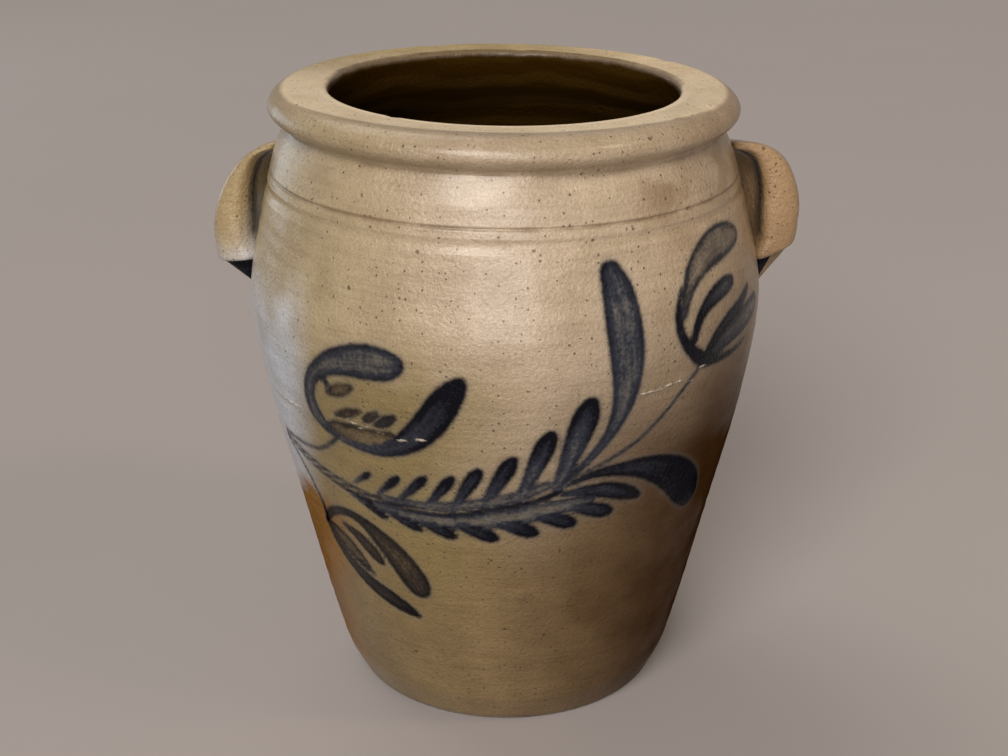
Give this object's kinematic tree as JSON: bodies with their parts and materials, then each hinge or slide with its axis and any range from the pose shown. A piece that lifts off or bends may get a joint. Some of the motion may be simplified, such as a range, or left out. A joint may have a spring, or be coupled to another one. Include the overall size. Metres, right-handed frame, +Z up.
{
  "type": "stoneware crock",
  "caption": "Ovoid salt-glazed stoneware crock with a rolled rim, applied strap handles, a brown slip-glazed inside and an open mouth for storing food.",
  "frame": {"origin": "centre of the foot, on the surface that the crock stands on", "axes": "+Z up along the crock's axis, handles along X, 6 degrees behind the middle, decorated front facing -Y"},
  "size_m": [0.2726, 0.236, 0.286],
  "materials": {
    "salt_glaze": "salt-glazed stoneware, orange-peel gloss",
    "handle_glaze": "salt-glazed stoneware, warmer toast",
    "brown_slip": "glossy brown slip glaze"
  },
  "bodies": {
    "root": {"crock_body": "salt_glaze", "left_handle": "handle_glaze", "right_handle": "handle_glaze", "slip_lining": "brown_slip"}
  },
  "joints": []
}
